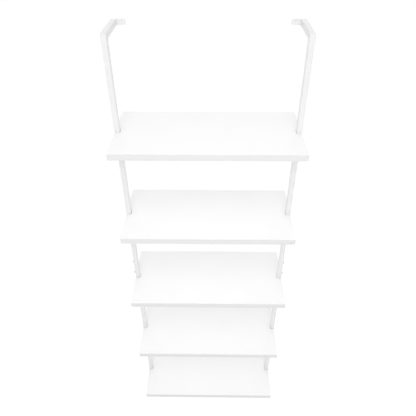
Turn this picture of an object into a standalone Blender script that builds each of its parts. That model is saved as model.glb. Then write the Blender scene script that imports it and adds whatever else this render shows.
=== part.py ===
"""Ladder bookcase: five boards notched round two slim side frames of steel box tube, whose top
arms run back to small plates that are screwed to the wall.

Run it in Blender 4.5, from the text editor or with blender --background --python part.py.
Lengths are in metres. +X is to the right, +Y is towards the wall and +Z is up. The origin is on the
floor, in the middle of the whole depth and halfway between the two side frames.
"""

import math

import bmesh
import bpy
from mathutils import Matrix, Vector

# Boards, counted from the floor
shelf_count = 5
shelf_width = 0.610
shelf_depth = 0.300
shelf_thickness = 0.022
shelf_pitch = 0.338
lowest_shelf_top = 0.177
shelf_edge_radius = 0.0013
shelf_corner_radius = 0.0025

# Box tube of the side frames, whose depth is along the ends of the boards, and upright in the arms
tube_width = 0.017
tube_depth = 0.020
tube_wall = 0.0012
tube_corner_radius = 0.0017
tube_least_inner_radius = 0.0003

# Reach of the side frames past the boards
frame_rise = 0.311
wall_gap = 0.003

# Joint between the lower and the upper half of each side frame
splice_above_middle_shelf = 0.0525
sleeve_wall = 0.0015
sleeve_past_bolt = 0.019
bolt_spacing = 0.060

# Dome head bolts of the splice
bolt_radius = 0.0025
bolt_end_past_sleeve = 0.004
bolt_head_radius = 0.0050
bolt_head_height = 0.0045
bolt_rim_height = 0.0020
bolt_socket_width = 0.004
bolt_socket_depth = 0.0025

# Wall plates at the back of the top arms, set in from the edges of the tube, but for a tab inwards
plate_inset = 0.001
plate_tab_width = 0.028
plate_thickness = 0.003
plate_corner_radius = 0.0025
plate_hole_radius = 0.0022
plate_sink_width = 0.0018
plate_sink_depth = 0.0018

# Folded angle brackets that carry the boards
bracket_length = 0.150
bracket_leg_width = 0.028
bracket_leg_height = 0.020
bracket_gauge = 0.0025
bracket_bend_radius = 0.0015
bracket_corner_radius = 0.005

# Pan head wood screws, driven up through the brackets
screw_radius = 0.0018
screw_cover_in_board = 0.007
screw_tip_length = 0.003
screw_head_radius = 0.0036
screw_head_height = 0.0021
screw_head_rim = 0.0008
screw_from_bracket_end = 0.020
screw_from_post = 0.016

# Push-in plastic feet
glide_pad_height = 0.005
glide_pad_edge = 0.0012
glide_plug_length = 0.020
glide_fin_height = 0.0009
glide_fin_thickness = 0.0012
glide_plug_wall = 0.0016
glide_plug_floor = 0.004
glide_fin_count = 3

# Gap left between two pieces that touch, run of a cutter past what it cuts, and least difference
seat_gap = 0.0003
cut_overrun = 0.001
same_place = 0.000003

# Facets across a board's eased edge and a quarter turn of a corner, and right round a bolt or its
# hole, a screw and a socket
edge_steps = 2
corner_steps = 3
hole_sides = 18
screw_sides = 12
hexagon_sides = 6
smooth_angle = math.radians(40)

# Colour, roughness and metallic value of each finish
board_paint = ((0.91, 0.91, 0.91), 0.45, 0.0)
steel_paint = ((0.82, 0.82, 0.82), 0.4, 0.0)
zinc_plate = ((0.62, 0.62, 0.62), 0.35, 0.9)
white_plastic = ((0.78, 0.78, 0.78), 0.5, 0.0)

# Places that follow from the sizes above
whole_depth = shelf_depth + wall_gap
wall_face = whole_depth / 2
shelf_middle = shelf_depth / 2 - whole_depth / 2
outer_face = shelf_width / 2
post_side = outer_face - tube_width / 2
post_inner_face = outer_face - tube_width
shelf_tops = [lowest_shelf_top + shelf_pitch * i for i in range(shelf_count)]
frame_top = shelf_tops[-1] + frame_rise
splice_height = shelf_tops[shelf_count // 2] + splice_above_middle_shelf
bolt_heights = {
    "lower": splice_height - bolt_spacing / 2,
    "upper": splice_height + bolt_spacing / 2,
}
hollow_width = tube_width - 2 * tube_wall
hollow_depth = tube_depth - 2 * tube_wall
tube_inner_radius = max(tube_corner_radius - tube_wall, tube_least_inner_radius)
mitre_setback = seat_gap * math.sqrt(2) / 2
plate_height = tube_depth - 2 * plate_inset
plate_width = tube_width - plate_inset + plate_tab_width
plate_top = frame_top - plate_inset
screw_depth = shelf_thickness - screw_cover_in_board
side_signs = {"left": -1, "right": 1}
end_signs = {"front": -1, "back": 1}


def remove_all_objects():
    for old in list(bpy.data.objects):
        bpy.data.objects.remove(old, do_unlink=True)


def finish(name, values):
    """A painted, plated or moulded surface of one colour."""
    colour, roughness, metallic = values
    material = bpy.data.materials.new(name)
    material.use_nodes = True
    shader = material.node_tree.nodes["Principled BSDF"]
    shader.inputs["Base Color"].default_value = (*colour, 1)
    shader.inputs["Roughness"].default_value = roughness
    shader.inputs["Metallic"].default_value = metallic
    return material


def mesh_from(bm, name):
    """Turns a bmesh into a mesh whose faces point out."""
    bmesh.ops.recalc_face_normals(bm, faces=bm.faces)
    if bm.calc_volume(signed=True) < 0:
        bmesh.ops.reverse_faces(bm, faces=bm.faces)
    mesh = bpy.data.meshes.new(name)
    bm.to_mesh(mesh)
    bm.free()
    return mesh


def finished(bm, name, values):
    """The mesh of a real piece, with its finish, and smooth round its curves."""
    mesh = mesh_from(bm, name)
    mesh.materials.append(finish(name + "_finish", values))
    mesh.shade_smooth()
    mesh.set_sharp_from_angle(angle=smooth_angle)
    return mesh


def add_object(name, mesh, location=(0, 0, 0), rotation=(0, 0, 0)):
    piece = bpy.data.objects.new(name, mesh)
    piece.location = location
    piece.rotation_euler = rotation
    bpy.context.collection.objects.link(piece)
    return piece


def cutter(name, bm, location=(0, 0, 0), rotation=(0, 0, 0)):
    """A tool shape that is only shown as wires."""
    tool = add_object(name, mesh_from(bm, name), location, rotation)
    tool.hide_render = True
    tool.display_type = "WIRE"
    return tool


def cut(piece, tool):
    boolean = piece.modifiers.new("cut_" + tool.name, "BOOLEAN")
    boolean.operation = "DIFFERENCE"
    boolean.solver = "EXACT"
    boolean.object = tool


def arc(centre, radius, start, turn=1):
    """Points of an arc, both ends included; start and turn are in quarter turns."""
    angles = [(start + turn * i / corner_steps) * math.pi / 2 for i in range(corner_steps + 1)]
    return [(centre[0] + radius * math.cos(a), centre[1] + radius * math.sin(a)) for a in angles]


def rounded_rectangle(width, height, radius):
    """Outline round the origin, anticlockwise from the right side."""
    x, y = width / 2 - radius, height / 2 - radius
    centres = [(x, y), (-x, y), (-x, -y), (x, -y)]
    return [point for i, centre in enumerate(centres) for point in arc(centre, radius, i)]


def loop_at(bm, points, z):
    """A closed ring of vertices and edges at one height."""
    verts = [bm.verts.new((x, y, z)) for x, y in points]
    edges = [bm.edges.new((verts[i - 1], verts[i])) for i in range(len(verts))]
    return verts, edges


def extrude_up(bm, faces, height):
    """Extrudes faces along +Z and gives back the new end faces and their vertices."""
    grown = bmesh.ops.extrude_face_region(bm, geom=faces)["geom"]
    verts = [part for part in grown if isinstance(part, bmesh.types.BMVert)]
    bmesh.ops.translate(bm, verts=verts, vec=(0, 0, height))
    return [part for part in grown if isinstance(part, bmesh.types.BMFace)], verts


def slab(points, thickness):
    """A flat plate of the given outline, from z = 0 up."""
    bm = bmesh.new()
    face = bm.faces.new([bm.verts.new((x, y, 0)) for x, y in points])
    extrude_up(bm, [face], thickness)
    return bm


def stacked_sections(width, depth, radius, sections):
    """Solid of rounded rectangles along Z, grown from the first one.

    Each section is its inset from the given width and depth, and its height.
    """
    bm = bmesh.new()
    inset, height = sections[0]
    outline = rounded_rectangle(width - 2 * inset, depth - 2 * inset, radius)
    base = [bm.faces.new(loop_at(bm, outline, height)[0])]
    end = base
    for (before, low), (after, high) in zip(sections, sections[1:]):
        grown, verts = extrude_up(bm, end, high - low)
        stretch_x = (width - 2 * after) / (width - 2 * before)
        stretch_y = (depth - 2 * after) / (depth - 2 * before)
        bmesh.ops.scale(bm, verts=verts, vec=(stretch_x, stretch_y, 1))
        if end is not base:
            bmesh.ops.delete(bm, geom=end, context="FACES_ONLY")
        end = grown
    return bm


def box_tube(width, depth, wall, radius, inner_radius, length):
    """Tube along +Z from z = 0, centred on its axis, with the vertices of both its ends."""
    bm = bmesh.new()
    outline = rounded_rectangle(width, depth, radius)
    hollow = rounded_rectangle(width - 2 * wall, depth - 2 * wall, inner_radius)
    outer_verts, outer_edges = loop_at(bm, outline, 0)
    inner_verts, inner_edges = loop_at(bm, hollow, 0)
    ring = bmesh.ops.bridge_loops(bm, edges=outer_edges + inner_edges)["faces"]
    end_verts = extrude_up(bm, ring, length)[1]
    return bm, outer_verts + inner_verts, end_verts


def frame_tube(length):
    return box_tube(
        tube_width, tube_depth, tube_wall, tube_corner_radius, tube_inner_radius, length,
    )


def turned(profile, sides):
    """A solid of revolution about Z; the profile runs from the axis to the axis, as (radius, z)."""
    bm = bmesh.new()
    verts = [bm.verts.new((radius, 0, z)) for radius, z in profile]
    edges = [bm.edges.new(pair) for pair in zip(verts, verts[1:])]
    bmesh.ops.spin(
        bm, geom=verts + edges, cent=(0, 0, 0), axis=(0, 0, 1), dvec=(0, 0, 0),
        angle=2 * math.pi, steps=sides, use_merge=True, use_duplicate=False,
    )
    bmesh.ops.remove_doubles(bm, verts=bm.verts, dist=same_place)
    return bm


def add_bar(bm, radius, start, end, sides):
    """A bar with that many sides between two points."""
    start, end = Vector(start), Vector(end)
    along = end - start
    turn = Vector((0, 0, 1)).rotation_difference(along).to_matrix().to_4x4()
    bmesh.ops.create_cone(
        bm, cap_ends=True, cap_tris=False, segments=sides, radius1=radius, radius2=radius,
        depth=along.length, matrix=Matrix.Translation((start + end) / 2) @ turn,
    )


# Boards

def shelf_outline():
    """Plan of a board, anticlockwise: rounded corners, and a notch for the post in each end."""
    x, y = shelf_width / 2, shelf_depth / 2
    mouth = tube_depth / 2 + seat_gap
    notch_end = x - tube_width - seat_gap
    corner, root = shelf_corner_radius, tube_corner_radius
    right_end = arc((x - corner, -y + corner), corner, 3)
    right_end += [(x, -mouth)]
    right_end += reversed(arc((notch_end + root, -mouth + root), root, 2))
    right_end += reversed(arc((notch_end + root, mouth - root), root, 1))
    right_end += [(x, mouth)]
    right_end += arc((x - corner, y - corner), corner, 0)
    return right_end + [(-px, -py) for px, py in right_end]


def shelf_mesh():
    """A board with its underside at z = 0 and all its top and bottom edges eased."""
    bm = slab(shelf_outline(), shelf_thickness)
    rims = [
        edge for edge in bm.edges
        if abs(edge.verts[0].co.z - edge.verts[1].co.z) < same_place
    ]
    bmesh.ops.bevel(
        bm, geom=rims, offset=shelf_edge_radius, offset_type="OFFSET", affect="EDGES",
        segments=edge_steps, profile=0.5, material=-1,
    )
    return finished(bm, "shelf", board_paint)


def screw_places():
    """The screws of one board by name, in plan, from the middle of the board."""
    x = post_inner_face - screw_from_post
    y = bracket_length / 2 - screw_from_bracket_end
    return {
        f"{end}_{side}": (side_signs[side] * x, end_signs[end] * y)
        for end in end_signs
        for side in side_signs
    }


def screw_hole_tool(name, location):
    """Four holes, through both brackets and blind in the underside of the board."""
    bm = bmesh.new()
    low = -seat_gap - bracket_gauge - cut_overrun
    high = screw_depth + seat_gap
    for x, y in screw_places().values():
        add_bar(bm, screw_radius + seat_gap, (x, y, low), (x, y, high), screw_sides)
    return cutter(name, bm, location)


def screw_mesh():
    """Pan head wood screw, head down, with z = 0 at the underside of the board that it enters."""
    seat = -bracket_gauge - 2 * seat_gap
    profile = [
        (0, seat - screw_head_height),
        (screw_head_radius - screw_head_height / 2, seat - screw_head_height),
        (screw_head_radius, seat - screw_head_rim),
        (screw_head_radius, seat),
        (screw_radius, seat),
        (screw_radius, screw_depth - screw_tip_length),
        (0, screw_depth),
    ]
    return finished(turned(profile, screw_sides), "shelf_screw", zinc_plate)


# Brackets under the boards

def bracket_profile():
    """Section of the folded angle: x = 0 at the post's inner face, z = 0 at the top of its leg."""
    gauge, bend = bracket_gauge, bracket_bend_radius
    fold = (-bend - gauge, -bend - gauge)
    outside = reversed(arc(fold, bend + gauge, 0))
    return [
        (-bracket_leg_width, 0), *outside, (0, -bracket_leg_height), (-gauge, -bracket_leg_height),
        *arc(fold, bend, 0), (-bracket_leg_width, -gauge),
    ]


def round_free_corners(bm):
    """Rounds the two corners of the level leg that reach in under the board."""
    corners = [
        edge for edge in bm.edges
        if all(v.co.x < -bracket_leg_width + same_place for v in edge.verts)
        and abs(edge.verts[0].co.y - edge.verts[1].co.y) < same_place
    ]
    bmesh.ops.bevel(
        bm, geom=corners, offset=bracket_corner_radius, offset_type="OFFSET", affect="EDGES",
        segments=corner_steps, profile=0.5, material=-1,
    )


def slope_ends(bm):
    """Cuts both ends of the upright leg back at 45 degrees, from just under the fold."""
    for sign in end_signs.values():
        start = (0, sign * bracket_length / 2, -bracket_gauge - bracket_bend_radius)
        sliced = bmesh.ops.bisect_plane(
            bm, geom=bm.verts[:] + bm.edges[:] + bm.faces[:], plane_co=start,
            plane_no=(0, sign, -1), clear_outer=True,
        )
        rim = [part for part in sliced["geom_cut"] if isinstance(part, bmesh.types.BMEdge)]
        bmesh.ops.contextual_create(bm, geom=rim)


def bracket_mesh():
    """Right-hand bracket, centred in Y on the post that it is welded to."""
    bm = slab(bracket_profile(), bracket_length)
    lay_along_y = Matrix.Translation((0, bracket_length / 2, 0)) @ Matrix.Rotation(math.pi / 2, 4, "X")
    bmesh.ops.transform(bm, matrix=lay_along_y, verts=bm.verts)
    round_free_corners(bm)
    slope_ends(bm)
    return finished(bm, "shelf_bracket", steel_paint)


def add_shelves():
    """The boards with their brackets and screws, from the floor up."""
    board, screw, bracket = shelf_mesh(), screw_mesh(), bracket_mesh()
    for number, top in enumerate(shelf_tops, start=1):
        underside = top - shelf_thickness
        tool = screw_hole_tool(f"screw_holes_{number}", (0, shelf_middle, underside))
        cut(add_object(f"shelf_{number}", board, (0, shelf_middle, underside)), tool)
        for corner, (x, y) in screw_places().items():
            add_object(f"shelf_screw_{number}_{corner}", screw, (x, shelf_middle + y, underside))
        for side, sign in side_signs.items():
            place = (sign * (post_inner_face - seat_gap), shelf_middle, underside - seat_gap)
            turn = (0, 0, 0 if sign > 0 else math.pi)
            cut(add_object(f"shelf_bracket_{number}_{side}", bracket, place, turn), tool)


# Side frames

def lower_post_mesh():
    length = splice_height - seat_gap / 2 - glide_pad_height - seat_gap
    return finished(frame_tube(length)[0], "lower_post", steel_paint)


def upper_post_mesh():
    """Upright whose top is mitred: its front face is its longest side."""
    length = frame_top - mitre_setback - splice_height - seat_gap / 2
    bm, _, top = frame_tube(length)
    for vert in top:
        vert.co.z -= vert.co.y + tube_depth / 2
    return finished(bm, "upper_post", steel_paint)


def top_arm_mesh():
    """Arm along local +Z, which lies along +Y once turned; its upper face is its longest side."""
    reach = wall_face - plate_thickness - seat_gap - shelf_middle + tube_depth / 2
    bm, start, _ = frame_tube(reach - mitre_setback)
    for vert in start:
        vert.co.z += vert.co.y + tube_depth / 2
    return finished(bm, "top_arm", steel_paint)


def sleeve_mesh():
    """Smaller tube inside the splice, as long as the bolts need."""
    width, depth = hollow_width - 2 * seat_gap, hollow_depth - 2 * seat_gap
    length = bolt_spacing + 2 * sleeve_past_bolt
    bm = box_tube(width, depth, sleeve_wall, tube_inner_radius, tube_least_inner_radius, length)[0]
    return finished(bm, "splice_sleeve", zinc_plate)


def bolt_hole_tool(name, sign, height):
    """Round hole through the outer wall of a post, and of the sleeve inside it."""
    bm = bmesh.new()
    depth = tube_wall + seat_gap + sleeve_wall + cut_overrun
    outside = (sign * (outer_face + cut_overrun), shelf_middle, height)
    inside = (sign * (outer_face - depth), shelf_middle, height)
    add_bar(bm, bolt_radius + seat_gap, outside, inside, hole_sides)
    return cutter(name, bm)


def bolt_mesh():
    """Dome head bolt, head up, with z = 0 at the face that it bears on."""
    end = -seat_gap - tube_wall - seat_gap - sleeve_wall - bolt_end_past_sleeve
    dome = bolt_head_height - bolt_rim_height
    profile = [(0, end), (bolt_radius, end), (bolt_radius, 0), (bolt_head_radius, 0)]
    profile += [(x * bolt_head_radius, bolt_rim_height + z * dome) for x, z in arc((0, 0), 1, 0)]
    profile[-1] = (0, bolt_head_height)
    return finished(turned(profile, hole_sides), "splice_bolt", zinc_plate)


def socket_tool(name, sign):
    """Hexagon sockets in the two bolt heads of one side."""
    bm = bmesh.new()
    crown = outer_face + seat_gap + bolt_head_height
    corner_radius = bolt_socket_width / 2 / math.cos(math.pi / hexagon_sides)
    for height in bolt_heights.values():
        outside = (sign * (crown + cut_overrun), shelf_middle, height)
        inside = (sign * (crown - bolt_socket_depth), shelf_middle, height)
        add_bar(bm, corner_radius, outside, inside, hexagon_sides)
    return cutter(name, bm)


def wall_plate_mesh():
    """Right-hand plate, back face at y = 0, with the top of its outer edge at the origin."""
    outline = rounded_rectangle(plate_width, plate_height, plate_corner_radius)
    bm = slab(outline, plate_thickness)
    middle = Matrix.Translation((-plate_width / 2, 0, -plate_height / 2))
    bmesh.ops.transform(bm, matrix=middle @ Matrix.Rotation(math.pi / 2, 4, "X"), verts=bm.verts)
    return finished(bm, "wall_plate", steel_paint)


def plate_hole_tool(name, sign):
    """Countersunk hole in the middle of the tab that reaches inwards from the arm."""
    slope = plate_sink_width / plate_sink_depth
    mouth = plate_hole_radius + plate_sink_width + slope * cut_overrun
    profile = [
        (0, -cut_overrun), (mouth, -cut_overrun), (plate_hole_radius, plate_sink_depth),
        (plate_hole_radius, plate_thickness + cut_overrun), (0, plate_thickness + cut_overrun),
    ]
    x = sign * (post_inner_face - plate_tab_width / 2)
    place = (x, wall_face - plate_thickness, plate_top - plate_height / 2)
    return cutter(name, turned(profile, hole_sides), place, (-math.pi / 2, 0, 0))


def glide_mesh():
    """Foot on the floor, with a finned hollow plug that is pushed up into the tube."""
    fin_inset = tube_wall + seat_gap
    core_inset = fin_inset + glide_fin_height
    well_inset = core_inset + glide_plug_wall
    top = glide_pad_height + glide_plug_length
    pitch = (glide_plug_length - glide_fin_thickness) / glide_fin_count
    sections = [(glide_pad_edge, 0), (0, glide_pad_edge)]
    sections += [(0, glide_pad_height), (core_inset, glide_pad_height)]
    for i in range(1, glide_fin_count + 1):
        low = glide_pad_height + pitch * i
        high = low + glide_fin_thickness
        sections += [(core_inset, low), (fin_inset, low), (fin_inset, high), (core_inset, high)]
    sections += [(well_inset, top), (well_inset, glide_pad_height + glide_plug_floor)]
    bm = stacked_sections(tube_width, tube_depth, tube_corner_radius, sections)
    return finished(bm, "foot_glide", white_plastic)


def add_posts(side, sign, lower, upper, sleeve, bolt):
    """Both halves of one post, with the sleeve and the bolts that join them."""
    x = sign * post_side
    low_hole = bolt_hole_tool(f"lower_bolt_hole_{side}", sign, bolt_heights["lower"])
    high_hole = bolt_hole_tool(f"upper_bolt_hole_{side}", sign, bolt_heights["upper"])
    lower_base = glide_pad_height + seat_gap
    cut(add_object(f"lower_post_{side}", lower, (x, shelf_middle, lower_base)), low_hole)
    upper_base = splice_height + seat_gap / 2
    cut(add_object(f"upper_post_{side}", upper, (x, shelf_middle, upper_base)), high_hole)
    sleeve_base = bolt_heights["lower"] - sleeve_past_bolt
    inner = add_object(f"splice_sleeve_{side}", sleeve, (x, shelf_middle, sleeve_base))
    cut(inner, low_hole)
    cut(inner, high_hole)
    sockets = socket_tool(f"bolt_sockets_{side}", sign)
    for level, height in bolt_heights.items():
        seat = (sign * (outer_face + seat_gap), shelf_middle, height)
        turn = (0, sign * math.pi / 2, 0)
        cut(add_object(f"splice_bolt_{level}_{side}", bolt, seat, turn), sockets)


def add_wall_plate(side, sign, plate):
    """Both plates share a mesh: the left one is the right one turned over about Y."""
    height = plate_top if sign > 0 else plate_top - plate_height
    place = (sign * (outer_face - plate_inset), wall_face, height)
    turn = (0, 0 if sign > 0 else math.pi, 0)
    piece = add_object(f"wall_plate_{side}", plate, place, turn)
    cut(piece, plate_hole_tool(f"plate_hole_{side}", sign))


def add_side_frames():
    """Posts, arms, splices, wall plates and feet of both sides."""
    lower, upper, sleeve, bolt = lower_post_mesh(), upper_post_mesh(), sleeve_mesh(), bolt_mesh()
    arm, plate, glide = top_arm_mesh(), wall_plate_mesh(), glide_mesh()
    arm_front = shelf_middle - tube_depth / 2 + mitre_setback
    for side, sign in side_signs.items():
        x = sign * post_side
        add_posts(side, sign, lower, upper, sleeve, bolt)
        arm_place = (x, arm_front, frame_top - tube_depth / 2)
        add_object(f"top_arm_{side}", arm, arm_place, (-math.pi / 2, 0, 0))
        add_wall_plate(side, sign, plate)
        add_object(f"foot_glide_{side}", glide, (x, shelf_middle, 0))


remove_all_objects()
add_shelves()
add_side_frames()
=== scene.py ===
import math

import bmesh
import bpy
from mathutils import Matrix, Vector


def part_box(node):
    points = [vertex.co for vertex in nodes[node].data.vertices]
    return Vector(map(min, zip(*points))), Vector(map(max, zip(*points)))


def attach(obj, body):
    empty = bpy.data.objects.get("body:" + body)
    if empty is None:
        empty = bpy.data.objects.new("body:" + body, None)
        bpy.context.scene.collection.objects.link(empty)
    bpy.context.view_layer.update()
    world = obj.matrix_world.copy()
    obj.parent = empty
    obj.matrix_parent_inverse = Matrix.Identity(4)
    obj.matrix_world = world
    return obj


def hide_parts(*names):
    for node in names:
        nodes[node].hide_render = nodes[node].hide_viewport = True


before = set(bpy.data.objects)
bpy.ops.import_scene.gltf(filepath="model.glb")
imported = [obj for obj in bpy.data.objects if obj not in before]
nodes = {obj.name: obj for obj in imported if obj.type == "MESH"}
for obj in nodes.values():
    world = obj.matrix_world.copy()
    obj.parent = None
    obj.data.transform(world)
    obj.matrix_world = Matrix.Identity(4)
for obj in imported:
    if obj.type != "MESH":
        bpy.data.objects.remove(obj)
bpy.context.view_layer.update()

# The ladder bookcase's looks: paint and plating on its solids, and the weld beads, finer bolts and
# screws that they leave out. Lengths are in metres, with +Y towards the wall and +Z up.

side_signs = {"left": -1, "right": 1}
up = Vector((0, 0, 1))


def names_of(*starts):
    return sorted(name for name in nodes if name.startswith(starts))


shelf_names = [name for name in names_of("shelf_") if name.count("_") == 1]
screw_names = names_of("shelf_screw_")
bracket_names = names_of("shelf_bracket_")
bolt_names = names_of("splice_bolt_")
sleeve_names = names_of("splice_sleeve_")
frame_names = names_of("lower_post_", "upper_post_", "top_arm_", "wall_plate_")
foot_names = names_of("foot_glide_")


# Finishes

noise_low = 0.3
noise_high = 0.7
gloss_detail = 3.0
bevel_samples = 4
shade_samples = 16
sky_in_tight_corner = 0.4
edge_colour_start = 0.0009
edge_colour_full = 0.0005


def grey(level):
    return (level, level, level)


def new_finish(name):
    material = bpy.data.materials.new(name)
    material.use_nodes = True
    tree = material.node_tree
    return material, tree, tree.nodes["Principled BSDF"]


def add_node(tree, kind, values=None, **settings):
    """A shader node with some of its settings and sockets filled in."""
    node = tree.nodes.new(kind)
    for key, value in settings.items():
        setattr(node, key, value)
    for key, value in (values or {}).items():
        node.inputs[key].default_value = value
    return node


def object_noise(tree, size, detail=2.0):
    """Noise on the piece's own coordinates, with lumps of about the given size."""
    place = add_node(tree, "ShaderNodeTexCoord")
    noise = add_node(tree, "ShaderNodeTexNoise", {"Scale": 1 / size, "Detail": detail})
    tree.links.new(place.outputs["Object"], noise.inputs["Vector"])
    return noise.outputs["Fac"]


def spread(tree, source, low, high):
    """Stretches the middle of a noise over a range of values."""
    ranger = add_node(
        tree, "ShaderNodeMapRange",
        {"From Min": noise_low, "From Max": noise_high, "To Min": low, "To Max": high},
    )
    tree.links.new(source, ranger.inputs["Value"])
    return ranger.outputs["Result"]


def cloudy(tree, size, first, second):
    """A colour that drifts between two tones, in clouds of about the given size."""
    tones = {"A": (*first, 1), "B": (*second, 1)}
    mixer = add_node(tree, "ShaderNodeMix", tones, data_type="RGBA")
    tree.links.new(spread(tree, object_noise(tree, size), 0, 1), mixer.inputs["Factor"])
    return mixer.outputs["Result"]


def uneven_gloss(tree, shader, size, low, high):
    """Roughness that drifts between two values, in patches of about the given size."""
    patches = spread(tree, object_noise(tree, size, gloss_detail), low, high)
    tree.links.new(patches, shader.inputs["Roughness"])


def relief(tree, shader, coats, edge_radius):
    """Bump from (noise size, depth) pairs, on edges that are softened by the paint over them."""
    soft_edge = add_node(
        tree, "ShaderNodeBevel", {"Radius": edge_radius}, samples=bevel_samples
    )
    normal = soft_edge.outputs["Normal"]
    for size, depth in coats:
        bump = add_node(tree, "ShaderNodeBump", {"Strength": 1.0, "Distance": depth})
        tree.links.new(object_noise(tree, size), bump.inputs["Height"])
        tree.links.new(normal, bump.inputs["Normal"])
        normal = bump.outputs["Normal"]
    tree.links.new(normal, shader.inputs["Normal"])


def painted_corner_shade(tree, colour, reach, least):
    """The colour, darker where another face stands within reach: painted shade where that face
    blocks the light.
    """
    shade = add_node(
        tree, "ShaderNodeAmbientOcclusion", {"Distance": reach}, samples=shade_samples
    )
    strength = add_node(
        tree, "ShaderNodeMapRange",
        {"From Min": sky_in_tight_corner, "From Max": 1.0, "To Min": least, "To Max": 1.0},
    )
    scaled = add_node(tree, "ShaderNodeVectorMath", operation="SCALE")
    tree.links.new(shade.outputs["AO"], strength.inputs["Value"])
    tree.links.new(colour, scaled.inputs[0])
    tree.links.new(strength.outputs["Result"], scaled.inputs["Scale"])
    return scaled.outputs["Vector"]


def near_edge(tree, middle, half):
    """1 on the faces round a board's edge, and 0 on its top and underside."""
    place = add_node(tree, "ShaderNodeTexCoord")
    shift = add_node(tree, "ShaderNodeVectorMath", {1: middle}, operation="SUBTRACT")
    size = add_node(tree, "ShaderNodeVectorMath", operation="ABSOLUTE")
    axes = add_node(tree, "ShaderNodeSeparateXYZ")
    tree.links.new(place.outputs["Object"], shift.inputs[0])
    tree.links.new(shift.outputs["Vector"], size.inputs[0])
    tree.links.new(size.outputs["Vector"], axes.inputs["Vector"])
    either = add_node(tree, "ShaderNodeMath", operation="MAXIMUM")
    for socket, axis, reach in zip(either.inputs, ("X", "Y"), half):
        start, full = reach - edge_colour_start, reach - edge_colour_full
        ramp = add_node(tree, "ShaderNodeMapRange", {"From Min": start, "From Max": full})
        tree.links.new(axes.outputs[axis], ramp.inputs["Value"])
        tree.links.new(ramp.outputs["Result"], socket)
    return either.outputs["Value"]


def board_finish():
    """Satin lacquer, sprayed: faint orange peel, and a darker tone on the faces round each edge."""
    material, tree, shader = new_finish("satin_lacquer")
    low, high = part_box(shelf_names[0])
    middle, half = (low + high) / 2, (high - low) / 2
    face = cloudy(tree, size=0.11, first=grey(0.925), second=grey(0.936))
    edge = add_node(tree, "ShaderNodeMix", {"B": (*grey(0.79), 1)}, data_type="RGBA")
    on_edge = near_edge(tree, (middle.x, middle.y, 0), (half.x, half.y))
    tree.links.new(on_edge, edge.inputs["Factor"])
    tree.links.new(face, edge.inputs["A"])
    # painted shade: the lacquer darkens where the posts and other faces stand close
    coat_colour_and_shade = painted_corner_shade(tree, edge.outputs["Result"], reach=0.03, least=0.92)
    tree.links.new(coat_colour_and_shade, shader.inputs["Base Color"])
    uneven_gloss(tree, shader, size=0.03, low=0.42, high=0.5)
    shader.inputs["Specular IOR Level"].default_value = 0.2
    relief(tree, shader, coats=[(0.0035, 0.00001), (0.0009, 0.000003)], edge_radius=0.0006)
    return material


def tube_finish():
    """Powder coat on steel, with its fine even texture."""
    material, tree, shader = new_finish("powder_coat")
    face = cloudy(tree, size=0.05, first=grey(0.81), second=grey(0.83))
    # painted shade: the powder coat darkens where the boards and other faces stand close
    coat_colour_and_shade = painted_corner_shade(tree, face, reach=0.04, least=0.94)
    tree.links.new(coat_colour_and_shade, shader.inputs["Base Color"])
    uneven_gloss(tree, shader, size=0.004, low=0.36, high=0.46)
    shader.inputs["Specular IOR Level"].default_value = 0.5
    shader.inputs["Coat Weight"].default_value = 0.4
    shader.inputs["Coat Roughness"].default_value = 0.3
    relief(tree, shader, coats=[(0.0014, 0.00002), (0.0005, 0.000008)], edge_radius=0.0008)
    return material


def zinc_finish(name, dark, light):
    """Zinc plating, with soft clouds between a dark and a light tone and a faint grain."""
    material, tree, shader = new_finish(name)
    clouds = cloudy(tree, size=0.002, first=dark, second=light)
    tree.links.new(clouds, shader.inputs["Base Color"])
    shader.inputs["Metallic"].default_value = 1.0
    uneven_gloss(tree, shader, size=0.0006, low=0.24, high=0.4)
    relief(tree, shader, coats=[(0.0004, 0.000004)], edge_radius=0.0002)
    return material


def foot_finish():
    """Moulded plastic with a fine spark-eroded grain."""
    material, tree, shader = new_finish("moulded_plastic")
    face = cloudy(tree, size=0.012, first=(0.76, 0.76, 0.755), second=(0.80, 0.80, 0.795))
    tree.links.new(face, shader.inputs["Base Color"])
    uneven_gloss(tree, shader, size=0.001, low=0.48, high=0.6)
    shader.inputs["Subsurface Weight"].default_value = 0.05
    relief(tree, shader, coats=[(0.0004, 0.000012)], edge_radius=0.0004)
    return material


lacquer = board_finish()
powder_coat = tube_finish()
plastic = foot_finish()
bright_zinc = zinc_finish("bright_zinc", dark=(0.56, 0.57, 0.58), light=(0.66, 0.66, 0.65))
dull_zinc = zinc_finish("dull_zinc", dark=(0.43, 0.435, 0.44), light=(0.53, 0.53, 0.525))


# Mesh helpers

merge_distance = 0.000002
sharp_angle = math.radians(38)


def add_piece(name, bm, finish, stands_for=()):
    """A new piece, with its place in its mesh, that rides with the bookcase."""
    bmesh.ops.remove_doubles(bm, verts=bm.verts, dist=merge_distance)
    bmesh.ops.recalc_face_normals(bm, faces=bm.faces)
    mesh = bpy.data.meshes.new(name)
    bm.to_mesh(mesh)
    bm.free()
    mesh.materials.append(finish)
    mesh.shade_smooth()
    mesh.set_sharp_from_angle(angle=sharp_angle)
    piece = bpy.data.objects.new(name, mesh)
    bpy.context.scene.collection.objects.link(piece)
    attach(piece, "root")
    if stands_for:
        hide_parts(*stands_for)


def add_turned(bm, profile, sides):
    """Spins a profile of (radius, height) points about Z."""
    verts = [bm.verts.new((radius, 0, height)) for radius, height in profile]
    edges = [bm.edges.new(pair) for pair in zip(verts, verts[1:])]
    bmesh.ops.spin(
        bm, geom=verts + edges, cent=(0, 0, 0), axis=up, dvec=(0, 0, 0),
        angle=2 * math.pi, steps=sides, use_merge=True, use_duplicate=False,
    )
    bmesh.ops.remove_doubles(bm, verts=bm.verts, dist=merge_distance)


def open_edges(bm):
    """The edges round openings, which only one face uses."""
    return [edge for edge in bm.edges if edge.is_boundary]


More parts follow.
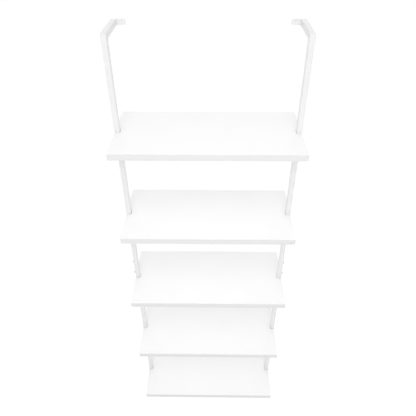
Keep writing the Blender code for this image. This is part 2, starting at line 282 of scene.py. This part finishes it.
def bare_edges(bm):
    """The edges that no face uses."""
    return [edge for edge in bm.edges if edge.is_wire]


def verts_in(parts):
    return [part for part in parts if isinstance(part, bmesh.types.BMVert)]


def dome(radius, height, base, inner_radius, steps):
    """Profile of a domed head, from its rim at the base in to the inner radius."""
    last = math.acos(inner_radius / radius)
    angles = [last * i / steps for i in range(steps + 1)]
    return [(radius * math.cos(a), base + height * math.sin(a)) for a in angles]


def side_face(name, sign):
    """The x of a node's left face, for a sign of -1, or of its right one, for 1."""
    low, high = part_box(name)
    return high.x if sign > 0 else low.x


def side_of(name):
    return name.rsplit("_", 1)[1]


# Dome head bolts of the splices

head_edge_ease = 0.0002
bolt_head_radius = 0.0050
bolt_head_height = 0.0045
bolt_rim_height = 0.0020
bolt_dome_steps = 8
bolt_radius = 0.0025
bolt_length = 0.0073
bolt_end_chamfer = 0.0004
bolt_seat_gap = 0.0002
bolt_sides = 48
hexagon_sides = 6
socket_corner_radius = 0.00231
socket_mouth_radius = socket_corner_radius * 1.12
socket_sink = 0.0001
socket_depth = 0.0025


def bolt_shape():
    """A bolt along +Z with its head up, and z = 0 at the face that it bears on."""
    bm = bmesh.new()
    dome_height = bolt_head_height - bolt_rim_height
    head = dome(
        bolt_head_radius, dome_height, bolt_rim_height, socket_mouth_radius, bolt_dome_steps
    )
    profile = [
        (0, -bolt_length),
        (bolt_radius - bolt_end_chamfer, -bolt_length),
        (bolt_radius, bolt_end_chamfer - bolt_length),
        (bolt_radius, 0),
        (bolt_head_radius - head_edge_ease, 0),
        (bolt_head_radius, head_edge_ease),
    ]
    add_turned(bm, profile + head, bolt_sides)
    rim = open_edges(bm)
    socket_top = head[-1][1] - socket_sink
    bmesh.ops.create_circle(
        bm, segments=hexagon_sides, radius=socket_corner_radius,
        matrix=Matrix.Translation((0, 0, socket_top)),
    )
    cuts = bolt_sides // hexagon_sides - 1
    bmesh.ops.subdivide_edges(bm, edges=bare_edges(bm), cuts=cuts)
    hexagon = bare_edges(bm)
    bmesh.ops.bridge_loops(bm, edges=rim + hexagon)
    walls = bmesh.ops.extrude_edge_only(bm, edges=hexagon)["geom"]
    bmesh.ops.translate(bm, verts=verts_in(walls), vec=(0, 0, -socket_depth))
    bmesh.ops.contextual_create(bm, geom=open_edges(bm))
    return bm


def add_bolts():
    for name in bolt_names:
        low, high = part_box(name)
        side = side_of(name)
        sign = side_signs[side]
        seat = side_face("upper_post_" + side, sign) + sign * bolt_seat_gap
        middle = (low + high) / 2
        bm = bolt_shape()
        turn = Matrix.Rotation(sign * math.pi / 2, 4, "Y")
        place = Matrix.Translation((seat, middle.y, middle.z))
        bmesh.ops.transform(bm, matrix=place @ turn, verts=bm.verts)
        add_piece(name.replace("splice", "domed"), bm, dull_zinc, [name])


# Pan head screws under the boards

screw_head_radius = 0.0036
screw_head_height = 0.0021
screw_rim_height = 0.0007
screw_dome_steps = 6
screw_radius = 0.0018
screw_cone_start = 0.0131
screw_end = 0.0161
screw_tip_radius = 0.0004
screw_sides = 24
recess_mouth_radius = 0.0021
recess_size = 0.0016
recess_sink = 0.00005
recess_depth = 0.0013
recess_floor_share = 0.6


def add_cross_recess(bm, height):
    """A cross-shaped pit that goes up from the given height, and narrows on the way.

    It starts as a grid of nine cells, less those at the corners, and its outline is halved so
    that it meets the round head evenly.
    """
    cells = bmesh.ops.create_grid(
        bm, x_segments=3, y_segments=3, size=recess_size,
        matrix=Matrix.Translation((0, 0, height)),
    )["verts"]
    faces = [face for face in bm.faces if face.verts[0] in cells]
    corners = [
        face for face in faces
        if min(abs(offset) for offset in face.calc_center_median()[:2]) > merge_distance
    ]
    bmesh.ops.delete(bm, geom=corners, context="FACES")
    arms = [face for face in faces if face.is_valid]
    outline = [edge for edge in open_edges(bm) if edge.link_faces[0] in arms]
    grown = bmesh.ops.extrude_face_region(bm, geom=arms)["geom"]
    floor = verts_in(grown)
    bmesh.ops.translate(bm, verts=floor, vec=(0, 0, recess_depth))
    bmesh.ops.scale(bm, verts=floor, vec=(recess_floor_share, recess_floor_share, 1))
    bmesh.ops.delete(bm, geom=arms, context="FACES_ONLY")
    bmesh.ops.subdivide_edges(bm, edges=outline, cuts=1)


def screw_shape():
    """A wood screw, head down, with z = 0 at the flat of its head and a cross recess under it."""
    bm = bmesh.new()
    dome_height = screw_head_height - screw_rim_height
    head = dome(
        screw_head_radius, dome_height, screw_rim_height, recess_mouth_radius, screw_dome_steps
    )
    profile = [(radius, -height) for radius, height in reversed(head)]
    profile += [
        (screw_head_radius, -head_edge_ease),
        (screw_head_radius - head_edge_ease, 0),
        (screw_radius, 0),
        (screw_radius, screw_cone_start),
        (screw_tip_radius, screw_end),
        (0, screw_end),
    ]
    add_turned(bm, profile, screw_sides)
    rim = open_edges(bm)
    add_cross_recess(bm, profile[0][1] + recess_sink)
    mouth = [edge for edge in open_edges(bm) if edge not in rim]
    bmesh.ops.bridge_loops(bm, edges=rim + mouth)
    bmesh.ops.delete(bm, geom=bare_edges(bm), context="EDGES")
    return bm


def add_screws():
    """The screws, each of which stops at a turn of its own."""
    for name in screw_names:
        low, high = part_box(name)
        middle = (low + high) / 2
        bm = screw_shape()
        spin = Matrix.Rotation(len(name) + middle.z * 7 + middle.y * 40, 4, "Z")
        place = Matrix.Translation((middle.x, middle.y, low.z + screw_head_height))
        bmesh.ops.transform(bm, matrix=place @ spin, verts=bm.verts)
        add_piece(
            name.replace("shelf_screw", "pan_screw"), bm, bright_zinc, [name]
        )


# Weld beads

bead_sides = 12
ripple_steps = 4
ripple_height = 0.09
bead_end_share = 0.55
bracket_bead_radius = 0.0015
bracket_bead_ripples = 9
bead_off_bracket = 0.0009
bead_above_bracket_base = 0.001
bead_below_bracket_top = 0.004
plate_bead_radius = 0.0014
plate_bead_ripples = 8
bead_off_arm_end = 0.0004
bead_off_post = 0.0002
bead_off_arm = 0.0002
fill_below = 0.00015
fill_wall = 0.0012
fill_thickness = 0.0004
fill_corner_radius = 0.0016
fill_corner_steps = 4


def add_bead(bm, start, end, radius, ripples):
    """A rippled bead of weld between two points, closed and tapered at both ends."""
    along = end - start
    turn = up.rotation_difference(along).to_matrix().to_4x4()
    steps = ripples * ripple_steps
    first = bmesh.ops.create_circle(bm, segments=bead_sides, radius=radius)["verts"]
    edges = bare_edges(bm)
    verts, everything, size = first, list(first), 1.0
    for i in range(1, steps + 1):
        grown = bmesh.ops.extrude_edge_only(bm, edges=edges)["geom"]
        verts = verts_in(grown)
        edges = [
            part for part in grown
            if isinstance(part, bmesh.types.BMEdge) and all(v in verts for v in part.verts)
        ]
        wave = 1 + ripple_height * math.sin(i / ripple_steps * 2 * math.pi)
        from_end = min(i, steps - i) / ripple_steps
        girth = wave * min(1, bead_end_share + (1 - bead_end_share) * from_end)
        bmesh.ops.translate(bm, verts=verts, vec=(0, 0, along.length / steps))
        bmesh.ops.scale(bm, verts=verts, vec=(girth / size, girth / size, 1))
        size = girth
        everything += verts
    bmesh.ops.scale(bm, verts=first, vec=(bead_end_share, bead_end_share, 1))
    for ring in (first, verts):
        bmesh.ops.contextual_create(bm, geom=ring)
    bmesh.ops.transform(bm, matrix=Matrix.Translation(start) @ turn, verts=everything)


def add_bracket_welds():
    """Two upright beads on each bracket, in the corners that it makes with the post."""
    for name in bracket_names:
        side = side_of(name)
        sign = side_signs[side]
        low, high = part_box(name)
        post_low, post_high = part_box("lower_post_" + side)
        x = side_face(name, sign) + sign * bead_off_bracket
        bm = bmesh.new()
        for y in (post_low.y - bead_off_post, post_high.y + bead_off_post):
            start = Vector((x, y, low.z + bead_above_bracket_base))
            end = Vector((x, y, high.z - bead_below_bracket_top))
            add_bead(bm, start, end, bracket_bead_radius, bracket_bead_ripples)
        piece_name = name.replace("shelf_bracket", "bracket_weld")
        add_piece(piece_name, bm, powder_coat)


def add_plate_welds():
    """A bead down the inner side of each arm's end, where it meets the wall plate."""
    for side, sign in side_signs.items():
        plate_low, plate_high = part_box("wall_plate_" + side)
        x = side_face("top_arm_" + side, -sign) - sign * bead_off_arm
        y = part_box("top_arm_" + side)[1].y - bead_off_arm_end
        bm = bmesh.new()
        start, end = Vector((x, y, plate_low.z)), Vector((x, y, plate_high.z))
        add_bead(bm, start, end, plate_bead_radius, plate_bead_ripples)
        add_piece("plate_weld_" + side, bm, powder_coat)


def add_corner_welds():
    """The mitre between post and arm, filled all round and ground to just under their faces."""
    for side in side_signs:
        low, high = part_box("upper_post_" + side)
        arm_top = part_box("top_arm_" + side)[1].z
        width, depth = high.x - low.x - 2 * fill_below, high.y - low.y - 2 * fill_below
        middle = (low + high) / 2
        middle.z = arm_top - (high.y - low.y) / 2
        bm = bmesh.new()
        corners = bmesh.ops.create_grid(bm, x_segments=1, y_segments=1, size=0.5)["verts"]
        bmesh.ops.scale(bm, verts=corners, vec=(width, depth, 1))
        bmesh.ops.bevel(
            bm, geom=corners, offset=fill_corner_radius, offset_type="OFFSET",
            affect="VERTICES", segments=fill_corner_steps, profile=0.5, material=-1,
        )
        hollow = bm.faces[:]
        bmesh.ops.inset_region(
            bm, faces=hollow, thickness=fill_wall, use_boundary=True, use_even_offset=True
        )
        bmesh.ops.delete(bm, geom=hollow, context="FACES")
        bmesh.ops.scale(bm, verts=bm.verts, vec=(1, math.sqrt(2), 1))
        grown = bmesh.ops.extrude_face_region(bm, geom=bm.faces[:])["geom"]
        bmesh.ops.translate(bm, verts=verts_in(grown), vec=(0, 0, fill_thickness))
        bmesh.ops.translate(bm, verts=bm.verts, vec=(0, 0, -fill_thickness / 2))
        turn = Matrix.Rotation(-math.pi / 4, 4, "X")
        bmesh.ops.transform(bm, matrix=Matrix.Translation(middle) @ turn, verts=bm.verts)
        add_piece("corner_weld_" + side, bm, powder_coat)


add_bolts()
add_screws()
add_bracket_welds()
add_plate_welds()
add_corner_welds()


# Finishes on the solids

def coat(names, finish):
    for name in names:
        for slot in nodes[name].material_slots:
            slot.material = finish


coat(shelf_names, lacquer)
coat(frame_names + bracket_names, powder_coat)
coat(bolt_names, dull_zinc)
coat(screw_names + sleeve_names, bright_zinc)
coat(foot_names, plastic)


# Floor, light and camera

white = (1, 1, 1, 1)
floor_grey = 0.8
floor_lift = 0.32
floor_reach = 12
camera_place = (0.0170, -1.2791, 2.1918)
camera_turn_degrees = 0.798
camera_down_degrees = 37.433
camera_roll_degrees = -0.181
sensor_millimetres = 36
lens_millimetres = 37.536


def seen_rays(tree):
    """1 for the camera's rays and for those that gloss and glass send on, and 0 for the rest."""
    path = add_node(tree, "ShaderNodeLightPath")
    seen = path.outputs["Is Camera Ray"]
    for ray in ("Is Glossy Ray", "Is Transmission Ray"):
        either = add_node(tree, "ShaderNodeMath", operation="MAXIMUM")
        tree.links.new(seen, either.inputs[0])
        tree.links.new(path.outputs[ray], either.inputs[1])
        seen = either.outputs["Value"]
    return seen


def add_floor():
    """Pale matt floor, lifted to white where it is seen but not in the light that it throws back."""
    bm = bmesh.new()
    bmesh.ops.create_grid(bm, x_segments=1, y_segments=1, size=floor_reach)
    mesh = bpy.data.meshes.new("floor")
    bm.to_mesh(mesh)
    bm.free()
    material, tree, shader = new_finish("studio_floor")
    shader.inputs["Base Color"].default_value = (*grey(floor_grey), 1)
    shader.inputs["Roughness"].default_value = 0.9
    shader.inputs["Specular IOR Level"].default_value = 0.1
    shader.inputs["Emission Color"].default_value = white
    lift = add_node(tree, "ShaderNodeMapRange", {"To Max": floor_lift})
    tree.links.new(seen_rays(tree), lift.inputs["Value"])
    tree.links.new(lift.outputs["Result"], shader.inputs["Emission Strength"])
    mesh.materials.append(material)
    floor = bpy.data.objects.new("floor", mesh)
    bpy.context.scene.collection.objects.link(floor)


def add_world(front, back):
    """White to the camera and in reflections, and as light a white of uneven strength.

    Front and back each hold the strength from the sides, from that end and from above.
    """
    world = bpy.data.worlds.new("studio")
    world.use_nodes = True
    bpy.context.scene.world = world
    tree = world.node_tree
    background = tree.nodes["Background"]
    background.inputs["Color"].default_value = white
    direction = add_node(tree, "ShaderNodeTexCoord").outputs["Generated"]
    axes = add_node(tree, "ShaderNodeSeparateXYZ")
    tree.links.new(direction, axes.inputs["Vector"])
    behind = add_node(tree, "ShaderNodeMapRange", {"From Min": -1.0})
    tree.links.new(axes.outputs["Y"], behind.inputs["Value"])
    ends = {"A": front, "B": back}
    strengths = add_node(tree, "ShaderNodeMix", ends, data_type="VECTOR")
    tree.links.new(behind.outputs["Result"], strengths.inputs["Factor"])
    squared = add_node(tree, "ShaderNodeVectorMath", operation="MULTIPLY")
    tree.links.new(direction, squared.inputs[0])
    tree.links.new(direction, squared.inputs[1])
    light = add_node(tree, "ShaderNodeVectorMath", operation="DOT_PRODUCT")
    tree.links.new(squared.outputs["Vector"], light.inputs[0])
    tree.links.new(strengths.outputs["Result"], light.inputs[1])
    power = add_node(tree, "ShaderNodeMapRange")
    tree.links.new(seen_rays(tree), power.inputs["Value"])
    tree.links.new(light.outputs["Value"], power.inputs["To Min"])
    tree.links.new(power.outputs["Result"], background.inputs["Strength"])


def add_softbox(name, place, aim, size, power):
    lamp = bpy.data.lights.new(name, "AREA")
    lamp.shape = "RECTANGLE"
    lamp.size, lamp.size_y = size
    lamp.energy = power
    softbox = bpy.data.objects.new(name, lamp)
    softbox.location = place
    forward = Vector(aim) - Vector(place)
    softbox.rotation_euler = forward.to_track_quat("-Z", "Y").to_euler()
    bpy.context.scene.collection.objects.link(softbox)


def add_camera():
    """Above head height, a little to the right of the middle, and looking steeply down."""
    lens = bpy.data.cameras.new("camera")
    lens.sensor_width = sensor_millimetres
    lens.lens = lens_millimetres
    camera = bpy.data.objects.new("camera", lens)
    place = Matrix.Translation(camera_place)
    turn = Matrix.Rotation(math.radians(camera_turn_degrees), 4, "Z")
    tilt = Matrix.Rotation(math.radians(90 - camera_down_degrees), 4, "X")
    roll = Matrix.Rotation(math.radians(camera_roll_degrees), 4, "Z")
    camera.matrix_world = place @ turn @ tilt @ roll
    bpy.context.scene.collection.objects.link(camera)
    bpy.context.scene.camera = camera


add_floor()
add_world(front=(1.1, 0.3, 1.45), back=(0.0, 2.35, 0.0))
add_softbox("front_softbox", place=(0, -2.6, 2.9), aim=(0, 0, 1.0), size=(1.8, 1.4), power=31.5)
add_softbox("high_softbox", place=(0, -1.8, 3.7), aim=(0, 0, 1.0), size=(2.2, 1.4), power=5)
add_camera()
bpy.context.scene.view_settings.view_transform = "Standard"
